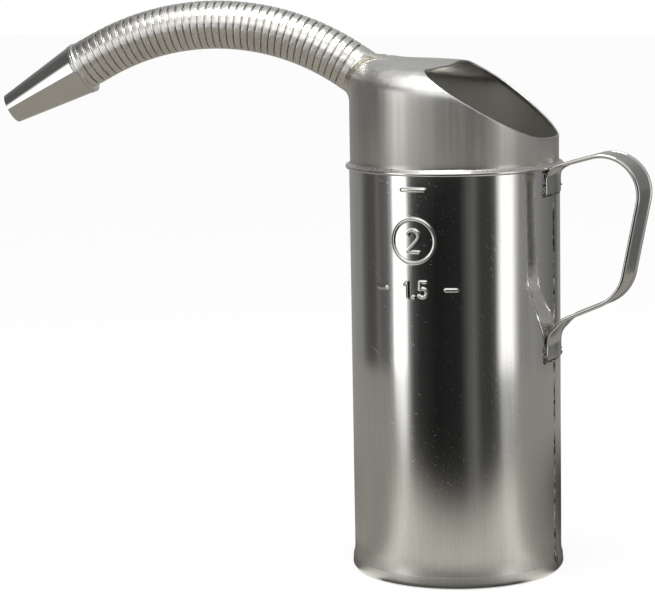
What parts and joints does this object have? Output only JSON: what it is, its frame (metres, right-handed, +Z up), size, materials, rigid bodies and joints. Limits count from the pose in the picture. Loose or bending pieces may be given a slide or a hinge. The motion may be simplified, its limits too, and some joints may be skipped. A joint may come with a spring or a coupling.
{
  "type": "oil measuring jug",
  "caption": "Tall cylindrical oil measuring jug with a hooded slanted filling mouth, a strap handle and a self-supporting flexible metal spout ending in a cone nozzle.",
  "frame": {"origin": "centre of the foot ring on the plane that the jug stands on", "axes": "+Z up, +X towards the handle, the spout points towards -X, the pressed marks face -Y"},
  "size_m": [0.3514, 0.1217, 0.3058],
  "materials": {
    "bright_tinplate": "bright rolled tinplate with fine scratches",
    "grey_tinplate": "dull grey drawn tinplate",
    "handle_tin": "bright strip with rolled edges",
    "hose_steel": "bright wound strip",
    "nozzle_tin": "polished sheet",
    "solder": "uneven tin solder",
    "dark_solder": "rough flux-stained solder"
  },
  "bodies": {
    "jug": {"body_shell": "bright_tinplate", "side_seam": "solder", "base_plate": "bright_tinplate", "hood": "grey_tinplate", "hood_solder": "solder", "handle": "handle_tin", "handle_upper_solder": "dark_solder", "handle_lower_solder": "dark_solder", "spout_ferrule": "hose_steel", "spout_solder": "solder"},
    "turn_01": {"turn_01": "hose_steel"},
    "turn_02": {"turn_02": "hose_steel"},
    "turn_03": {"turn_03": "hose_steel"},
    "turn_04": {"turn_04": "hose_steel"},
    "turn_05": {"turn_05": "hose_steel"},
    "turn_06": {"turn_06": "hose_steel"},
    "turn_07": {"turn_07": "hose_steel"},
    "turn_08": {"turn_08": "hose_steel"},
    "turn_09": {"turn_09": "hose_steel"},
    "turn_10": {"turn_10": "hose_steel"},
    "turn_11": {"turn_11": "hose_steel"},
    "turn_12": {"turn_12": "hose_steel"},
    "turn_13": {"turn_13": "hose_steel"},
    "turn_14": {"turn_14": "hose_steel"},
    "turn_15": {"turn_15": "hose_steel"},
    "turn_16": {"turn_16": "hose_steel"},
    "turn_17": {"turn_17": "hose_steel"},
    "turn_18": {"turn_18": "hose_steel"},
    "turn_19": {"turn_19": "hose_steel"},
    "turn_20": {"turn_20": "hose_steel"},
    "turn_21": {"turn_21": "hose_steel"},
    "turn_22": {"turn_22": "hose_steel"},
    "turn_23": {"turn_23": "hose_steel"},
    "turn_24": {"turn_24": "hose_steel"},
    "turn_25": {"turn_25": "hose_steel"},
    "turn_26": {"turn_26": "hose_steel"},
    "turn_27": {"turn_27": "hose_steel"},
    "turn_28": {"turn_28": "hose_steel"},
    "turn_29": {"turn_29": "hose_steel"},
    "turn_30": {"turn_30": "hose_steel"},
    "turn_31": {"turn_31": "hose_steel"},
    "turn_32": {"turn_32": "hose_steel"},
    "turn_33": {"turn_33": "hose_steel"},
    "turn_34": {"turn_34": "hose_steel"},
    "turn_35": {"turn_35": "hose_steel"},
    "turn_36": {"turn_36": "hose_steel"},
    "turn_37": {"turn_37": "hose_steel"},
    "turn_38": {"turn_38": "hose_steel"},
    "nozzle_end": {"end_ring": "hose_steel", "nozzle": "nozzle_tin"}
  },
  "joints": [
    {"name": "root_bend", "type": "hinge", "parent": "jug", "child": "turn_01", "pos_m": [-0.05718, -0.0106, 0.27166], "axis": [0.1834, -0.983, 0], "range_deg": [-4.5, 1.5]},
    {"name": "root_side", "type": "hinge", "parent": "turn_01", "child": "turn_02", "pos_m": [-0.06057, -0.01123, 0.27377], "axis": [0.5009, 0.0947, 0.8603], "range_deg": [-2.6, 2.6]},
    {"name": "root_bend_03", "type": "hinge", "parent": "turn_02", "child": "turn_03", "pos_m": [-0.06401, -0.01189, 0.27577], "axis": [0.1882, -0.9821, 0], "range_deg": [-4.5, 1.5]},
    {"name": "root_side_04", "type": "hinge", "parent": "turn_03", "child": "turn_04", "pos_m": [-0.06751, -0.01256, 0.27768], "axis": [0.4495, 0.0872, 0.889], "range_deg": [-2.6, 2.6]},
    {"name": "root_bend_05", "type": "hinge", "parent": "turn_04", "child": "turn_05", "pos_m": [-0.07106, -0.01326, 0.27947], "axis": [0.1929, -0.9812, 0], "range_deg": [-4.5, 1.5]},
    {"name": "root_side_06", "type": "hinge", "parent": "turn_05", "child": "turn_06", "pos_m": [-0.07466, -0.01397, 0.28116], "axis": [0.3966, 0.079, 0.9146], "range_deg": [-2.6, 2.6]},
    {"name": "root_bend_07", "type": "hinge", "parent": "turn_06", "child": "turn_07", "pos_m": [-0.07831, -0.0147, 0.28274], "axis": [0.1977, -0.9803, 0], "range_deg": [-4.5, 1.5]},
    {"name": "root_side_08", "type": "hinge", "parent": "turn_07", "child": "turn_08", "pos_m": [-0.082, -0.01545, 0.28421], "axis": [0.3423, 0.0699, 0.937], "range_deg": [-2.6, 2.6]},
    {"name": "root_bend_09", "type": "hinge", "parent": "turn_08", "child": "turn_09", "pos_m": [-0.08572, -0.01622, 0.28556], "axis": [0.2024, -0.9793, 0], "range_deg": [-4.5, 1.5]},
    {"name": "root_side_10", "type": "hinge", "parent": "turn_09", "child": "turn_10", "pos_m": [-0.08949, -0.017, 0.2868], "axis": [0.287, 0.06, 0.956], "range_deg": [-2.6, 2.6]},
    {"name": "root_bend_11", "type": "hinge", "parent": "turn_10", "child": "turn_11", "pos_m": [-0.09329, -0.0178, 0.28793], "axis": [0.2071, -0.9783, 0], "range_deg": [-4.5, 1.5]},
    {"name": "root_side_12", "type": "hinge", "parent": "turn_11", "child": "turn_12", "pos_m": [-0.09711, -0.01861, 0.28894], "axis": [0.2308, 0.0494, 0.9718], "range_deg": [-2.6, 2.6]},
    {"name": "root_bend_13", "type": "hinge", "parent": "turn_12", "child": "turn_13", "pos_m": [-0.10096, -0.01944, 0.28984], "axis": [0.2119, -0.9773, 0], "range_deg": [-4.5, 1.5]},
    {"name": "root_side_14", "type": "hinge", "parent": "turn_13", "child": "turn_14", "pos_m": [-0.10484, -0.02029, 0.29062], "axis": [0.1738, 0.0381, 0.984], "range_deg": [-2.6, 2.6]},
    {"name": "root_bend_15", "type": "hinge", "parent": "turn_14", "child": "turn_15", "pos_m": [-0.10873, -0.02115, 0.29128], "axis": [0.2166, -0.9763, 0], "range_deg": [-4.5, 1.5]},
    {"name": "root_side_16", "type": "hinge", "parent": "turn_15", "child": "turn_16", "pos_m": [-0.11263, -0.02202, 0.29182], "axis": [0.1164, 0.0261, 0.9929], "range_deg": [-2.6, 2.6]},
    {"name": "root_bend_17", "type": "hinge", "parent": "turn_16", "child": "turn_17", "pos_m": [-0.11656, -0.0229, 0.29224], "axis": [0.2213, -0.9752, 0], "range_deg": [-4.5, 1.5]},
    {"name": "root_side_18", "type": "hinge", "parent": "turn_17", "child": "turn_18", "pos_m": [-0.12048, -0.0238, 0.29254], "axis": [0.0587, 0.0135, 0.9982], "range_deg": [-2.6, 2.6]},
    {"name": "root_bend_19", "type": "hinge", "parent": "turn_18", "child": "turn_19", "pos_m": [-0.12441, -0.0247, 0.29273], "axis": [0.226, -0.9741, 0], "range_deg": [-4.5, 1.5]},
    {"name": "root_side_20", "type": "hinge", "parent": "turn_19", "child": "turn_20", "pos_m": [-0.12835, -0.02562, 0.29279], "axis": [0.0008, 0.0002, 1], "range_deg": [-2.6, 2.6]},
    {"name": "tip_bend", "type": "hinge", "parent": "turn_20", "child": "turn_21", "pos_m": [-0.13228, -0.02655, 0.29273], "axis": [0.2307, -0.973, 0], "range_deg": [-4.5, 1.5]},
    {"name": "tip_side", "type": "hinge", "parent": "turn_21", "child": "turn_22", "pos_m": [-0.13621, -0.02748, 0.29256], "axis": [-0.0568, -0.0136, 0.9983], "range_deg": [-2.6, 2.6]},
    {"name": "tip_bend_23", "type": "hinge", "parent": "turn_22", "child": "turn_23", "pos_m": [-0.14012, -0.02843, 0.29226], "axis": [0.2354, -0.9719, 0], "range_deg": [-4.5, 1.5]},
    {"name": "tip_side_24", "type": "hinge", "parent": "turn_23", "child": "turn_24", "pos_m": [-0.14403, -0.02938, 0.29185], "axis": [-0.1142, -0.0279, 0.9931], "range_deg": [-2.6, 2.6]},
    {"name": "tip_bend_25", "type": "hinge", "parent": "turn_24", "child": "turn_25", "pos_m": [-0.14792, -0.03034, 0.29131], "axis": [0.2401, -0.9707, 0], "range_deg": [-4.5, 1.5]},
    {"name": "tip_side_26", "type": "hinge", "parent": "turn_25", "child": "turn_26", "pos_m": [-0.15179, -0.0313, 0.29066], "axis": [-0.171, -0.0427, 0.9843], "range_deg": [-2.6, 2.6]},
    {"name": "tip_bend_27", "type": "hinge", "parent": "turn_26", "child": "turn_27", "pos_m": [-0.15563, -0.03226, 0.28989], "axis": [0.2448, -0.9696, 0], "range_deg": [-4.5, 1.5]},
    {"name": "tip_side_28", "type": "hinge", "parent": "turn_27", "child": "turn_28", "pos_m": [-0.15945, -0.03323, 0.289], "axis": [-0.227, -0.0579, 0.9722], "range_deg": [-2.6, 2.6]},
    {"name": "tip_bend_29", "type": "hinge", "parent": "turn_28", "child": "turn_29", "pos_m": [-0.16324, -0.0342, 0.288], "axis": [0.2495, -0.9684, 0], "range_deg": [-4.5, 1.5]},
    {"name": "tip_side_30", "type": "hinge", "parent": "turn_29", "child": "turn_30", "pos_m": [-0.167, -0.03518, 0.28687], "axis": [-0.2821, -0.0734, 0.9566], "range_deg": [-2.6, 2.6]},
    {"name": "tip_bend_31", "type": "hinge", "parent": "turn_30", "child": "turn_31", "pos_m": [-0.17072, -0.03615, 0.28564], "axis": [0.2541, -0.9672, 0], "range_deg": [-4.5, 1.5]},
    {"name": "tip_side_32", "type": "hinge", "parent": "turn_31", "child": "turn_32", "pos_m": [-0.1744, -0.03712, 0.28429], "axis": [-0.3361, -0.0892, 0.9376], "range_deg": [-2.6, 2.6]},
    {"name": "tip_bend_33", "type": "hinge", "parent": "turn_32", "child": "turn_33", "pos_m": [-0.17804, -0.03809, 0.28283], "axis": [0.2588, -0.9659, 0], "range_deg": [-4.5, 1.5]},
    {"name": "tip_side_34", "type": "hinge", "parent": "turn_33", "child": "turn_34", "pos_m": [-0.18164, -0.03906, 0.28126], "axis": [-0.3888, -0.1052, 0.9153], "range_deg": [-2.6, 2.6]},
    {"name": "tip_bend_35", "type": "hinge", "parent": "turn_34", "child": "turn_35", "pos_m": [-0.18518, -0.04002, 0.27958], "axis": [0.2635, -0.9647, 0], "range_deg": [-4.5, 1.5]},
    {"name": "tip_side_36", "type": "hinge", "parent": "turn_35", "child": "turn_36", "pos_m": [-0.18867, -0.04098, 0.27779], "axis": [-0.4399, -0.1213, 0.8898], "range_deg": [-2.6, 2.6]},
    {"name": "tip_bend_37", "type": "hinge", "parent": "turn_36", "child": "turn_37", "pos_m": [-0.19211, -0.04194, 0.27589], "axis": [0.2681, -0.9634, 0], "range_deg": [-2.7, 0.9]},
    {"name": "tip_side_38", "type": "hinge", "parent": "turn_37", "child": "turn_38", "pos_m": [-0.19555, -0.0429, 0.27399], "axis": [-0.452, -0.127, 0.8829], "range_deg": [-2.6, 2.6]},
    {"name": "tip_bend_39", "type": "hinge", "parent": "turn_38", "child": "nozzle_end", "pos_m": [-0.19898, -0.04387, 0.2721], "axis": [0.2728, -0.9621, 0], "range_deg": [-2.7, 0.9]}
  ],
  "couplings": [
    {"joint": "root_bend_03", "follows": "root_bend", "ratio": 1},
    {"joint": "root_side_04", "follows": "root_side", "ratio": 1},
    {"joint": "root_bend_05", "follows": "root_bend", "ratio": 1},
    {"joint": "root_side_06", "follows": "root_side", "ratio": 1},
    {"joint": "root_bend_07", "follows": "root_bend", "ratio": 1},
    {"joint": "root_side_08", "follows": "root_side", "ratio": 1},
    {"joint": "root_bend_09", "follows": "root_bend", "ratio": 1},
    {"joint": "root_side_10", "follows": "root_side", "ratio": 1},
    {"joint": "root_bend_11", "follows": "root_bend", "ratio": 1},
    {"joint": "root_side_12", "follows": "root_side", "ratio": 1},
    {"joint": "root_bend_13", "follows": "root_bend", "ratio": 1},
    {"joint": "root_side_14", "follows": "root_side", "ratio": 1},
    {"joint": "root_bend_15", "follows": "root_bend", "ratio": 1},
    {"joint": "root_side_16", "follows": "root_side", "ratio": 1},
    {"joint": "root_bend_17", "follows": "root_bend", "ratio": 1},
    {"joint": "root_side_18", "follows": "root_side", "ratio": 1},
    {"joint": "root_bend_19", "follows": "root_bend", "ratio": 1},
    {"joint": "root_side_20", "follows": "root_side", "ratio": 1},
    {"joint": "tip_bend_23", "follows": "tip_bend", "ratio": 1},
    {"joint": "tip_side_24", "follows": "tip_side", "ratio": 1},
    {"joint": "tip_bend_25", "follows": "tip_bend", "ratio": 1},
    {"joint": "tip_side_26", "follows": "tip_side", "ratio": 1},
    {"joint": "tip_bend_27", "follows": "tip_bend", "ratio": 1},
    {"joint": "tip_side_28", "follows": "tip_side", "ratio": 1},
    {"joint": "tip_bend_29", "follows": "tip_bend", "ratio": 1},
    {"joint": "tip_side_30", "follows": "tip_side", "ratio": 1},
    {"joint": "tip_bend_31", "follows": "tip_bend", "ratio": 1},
    {"joint": "tip_side_32", "follows": "tip_side", "ratio": 1},
    {"joint": "tip_bend_33", "follows": "tip_bend", "ratio": 1},
    {"joint": "tip_side_34", "follows": "tip_side", "ratio": 1},
    {"joint": "tip_bend_35", "follows": "tip_bend", "ratio": 1},
    {"joint": "tip_side_36", "follows": "tip_side", "ratio": 1},
    {"joint": "tip_bend_37", "follows": "tip_bend", "ratio": 0.6},
    {"joint": "tip_side_38", "follows": "tip_side", "ratio": 1},
    {"joint": "tip_bend_39", "follows": "tip_bend", "ratio": 0.6}
  ]
}
